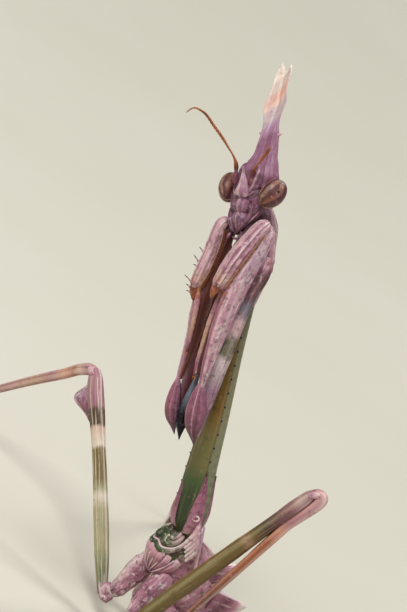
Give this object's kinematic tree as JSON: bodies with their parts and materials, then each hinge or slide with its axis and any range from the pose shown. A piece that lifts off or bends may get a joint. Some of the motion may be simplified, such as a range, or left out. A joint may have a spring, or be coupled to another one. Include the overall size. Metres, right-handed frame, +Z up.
{
  "type": "conehead praying mantis, life-size still model of a nymph",
  "caption": "Slender conehead mantis nymph standing on its walking legs, neck shield raised, catching legs folded, forked crown on the head.",
  "frame": {"origin": "centre of the bounding box's footprint, on the floor that the feet rest on", "axes": "+Z up; the animal faces -Y and its left side is +X; the legs spread furthest along X"},
  "size_m": [0.0538, 0.0436, 0.0401],
  "materials": {
    "mauve": "dusky mauve cuticle with pale ridges, satin",
    "rose": "rose-pink cuticle with white edges, satin",
    "shield": "ochre and grey-green cuticle with dark dots, satin",
    "olive": "olive and cream striped cuticle with a brown and a white band",
    "tan": "rose-tan cuticle, satin",
    "rust": "rust-orange cuticle, slightly glossy",
    "cream": "cream cuticle with peach blotches over a mauve base",
    "eye": "striped brown-mauve eye, glossy"
  },
  "bodies": {
    "root": {"prothorax": "shield", "neck": "mauve", "head": "mauve", "fore_coxa_left": "mauve", "fore_coxa_right": "mauve", "fore_trochanter_left": "mauve", "fore_trochanter_right": "mauve", "mid_trochanter_left": "mauve", "mid_trochanter_right": "mauve", "hind_trochanter_left": "mauve", "hind_trochanter_right": "mauve", "mesothorax": "rose", "metathorax": "rose", "wing_pad_fore_left": "rose", "wing_pad_fore_right": "rose", "wing_pad_hind_left": "rose", "wing_pad_hind_right": "rose", "abdomen_1": "rose", "abdomen_2": "rose", "abdomen_3": "rose", "abdomen_4": "rose", "abdomen_5": "rose", "abdomen_6": "rose", "abdomen_7": "rose", "abdomen_8": "rose", "abdomen_9": "rose", "cercus_left": "rose", "cercus_right": "rose", "frontal_spine": "rose", "fore_femur_left": "rose", "fore_femur_right": "rose", "fore_tibia_left": "rose", "fore_tibia_right": "rose", "mid_coxa_left": "rose", "mid_coxa_right": "rose", "hind_coxa_left": "rose", "hind_coxa_right": "rose", "eye_left": "eye", "eye_right": "eye", "crown": "cream", "crown_tip_left": "cream", "crown_tip_right": "cream", "antenna_left": "rust", "antenna_right": "rust", "fore_tarsus_left": "rust", "fore_tarsus_right": "rust", "mid_femur_left": "olive", "mid_femur_right": "olive", "hind_femur_left": "olive", "hind_femur_right": "olive", "mid_tibia_left": "tan", "mid_tibia_right": "tan", "mid_tarsus_left": "tan", "mid_tarsus_right": "tan", "hind_tibia_left": "tan", "hind_tibia_right": "tan", "hind_tarsus_left": "tan", "hind_tarsus_right": "tan"}
  },
  "joints": []
}
